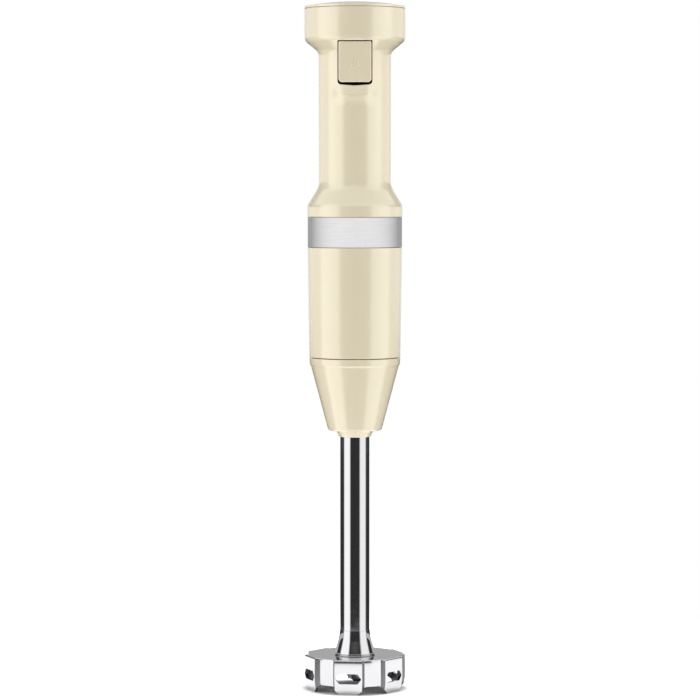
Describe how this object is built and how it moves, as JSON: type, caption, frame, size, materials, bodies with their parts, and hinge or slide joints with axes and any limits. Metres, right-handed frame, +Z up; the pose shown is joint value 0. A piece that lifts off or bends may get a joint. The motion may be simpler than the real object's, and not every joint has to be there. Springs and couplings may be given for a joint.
{
  "type": "immersion blender",
  "caption": "Cordless stick blender with a squeeze trigger, a rear safety lock and a steel blending arm that twists and pulls off.",
  "frame": {"origin": "on the drive axis, at the plane that the guard's feet stand on", "axes": "+Z up along the drive axis, trigger towards -Y, +X to the right of someone facing the trigger"},
  "size_m": [0.06, 0.06, 0.4097],
  "materials": {
    "cream_gloss": "glossy moulded ABS",
    "brushed_trim": "brushed round the band",
    "polished_steel": "mirror-polished stainless steel",
    "blade_steel": "ground stainless steel",
    "plated_steel": "zinc-plated",
    "dark_plastic": "moulded, matt",
    "engineering_plastic": "moulded, satin",
    "jaw_plastic": "glass-filled nylon",
    "seal_rubber": "matt silicone",
    "cell_sleeve": "shrink-sleeved cells",
    "nickel_strip": "nickel strip",
    "board_green": "solder mask",
    "clear_light": "clear light guide",
    "ferrite": "sintered ferrite",
    "bearing_bronze": "sintered bronze",
    "copper": "enamelled copper",
    "core_steel": "laminated sheet",
    "carbon": "pressed carbon",
    "lead_red": "insulated wire",
    "lead_black": "insulated wire"
  },
  "bodies": {
    "motor_body": {"front_shell": "cream_gloss", "rear_shell": "cream_gloss", "top_cap": "cream_gloss", "cap_gasket": "seal_rubber", "trim_band": "brushed_trim", "motor_sleeve": "cream_gloss", "arm_socket": "engineering_plastic", "retaining_spring": "plated_steel", "shaft_seal": "seal_rubber", "chassis": "dark_plastic", "battery_cells": "cell_sleeve", "cell_straps": "nickel_strip", "control_board": "board_green", "speed_sensor": "dark_plastic", "charge_socket": "dark_plastic", "status_light": "clear_light", "lock_switch": "dark_plastic", "button_guide": "dark_plastic", "lock_spring": "plated_steel", "trigger_pin": "blade_steel", "trigger_spring": "plated_steel", "motor_can": "plated_steel", "motor_end_bell": "engineering_plastic", "field_magnets": "ferrite", "motor_bearings": "bearing_bronze", "brushes": "carbon", "brush_holders": "dark_plastic", "motor_damper": "seal_rubber", "cap_screws": "plated_steel", "skirt_screws": "plated_steel", "socket_screws": "plated_steel", "motor_screws": "plated_steel", "motor_leads": "lead_black", "battery_leads": "lead_red"},
    "trigger": {"trigger": "cream_gloss", "trigger_magnet": "ferrite"},
    "lock_button": {"lock_button": "cream_gloss"},
    "rotor": {"motor_shaft": "blade_steel", "armature_core": "core_steel", "armature_windings": "copper", "commutator": "copper", "cooling_fan": "engineering_plastic", "drive_jaw": "jaw_plastic"},
    "lock_ring": {"lock_ring": "engineering_plastic"},
    "arm": {"collar_shell": "cream_gloss", "arm_core": "engineering_plastic", "arm_seal": "seal_rubber", "shaft_tube": "polished_steel", "arm_bearing": "plated_steel", "bearing_clip": "plated_steel", "shaft_guides": "engineering_plastic", "blade_guard": "polished_steel", "lower_bearing": "bearing_bronze", "lip_seal": "seal_rubber", "collar_screws": "plated_steel"},
    "blade_drive": {"drive_shaft": "blade_steel", "shaft_clip": "plated_steel", "arm_jaw": "jaw_plastic", "blade": "blade_steel", "blade_nut": "blade_steel"}
  },
  "joints": [
    {"name": "trigger_press", "type": "hinge", "parent": "motor_body", "child": "trigger", "pos_m": [0, -0.018, 0.3901], "axis": [1, 0, 0], "range_deg": [0, 8], "stiffness_Nm_per_rad": 0.5, "springref_deg": -8.59, "deforming": ["trigger_spring"]},
    {"name": "lock_press", "type": "slide", "parent": "motor_body", "child": "lock_button", "axis": [0, -1, 0], "range_m": [0, 0.0018], "stiffness_N_per_m": 600, "springref_m": -0.002, "deforming": ["lock_spring"]},
    {"name": "motor_spin", "type": "hinge", "parent": "motor_body", "child": "rotor", "pos_m": [0, 0, 0.249], "axis": [0, 0, 1], "continuous": true},
    {"name": "arm_twist", "type": "hinge", "parent": "motor_body", "child": "lock_ring", "pos_m": [0, 0, 0.2105], "axis": [0, 0, 1], "range_deg": [-35, 0]},
    {"name": "arm_pull", "type": "slide", "parent": "lock_ring", "child": "arm", "axis": [0, 0, -1], "range_m": [0, 0.04], "deforming": ["retaining_spring"]},
    {"name": "blade_spin", "type": "hinge", "parent": "arm", "child": "blade_drive", "pos_m": [0, 0, 0.1], "axis": [0, 0, 1], "continuous": true}
  ],
  "couplings": [
    {"joint": "blade_spin", "follows": "motor_spin", "ratio": 1}
  ]
}
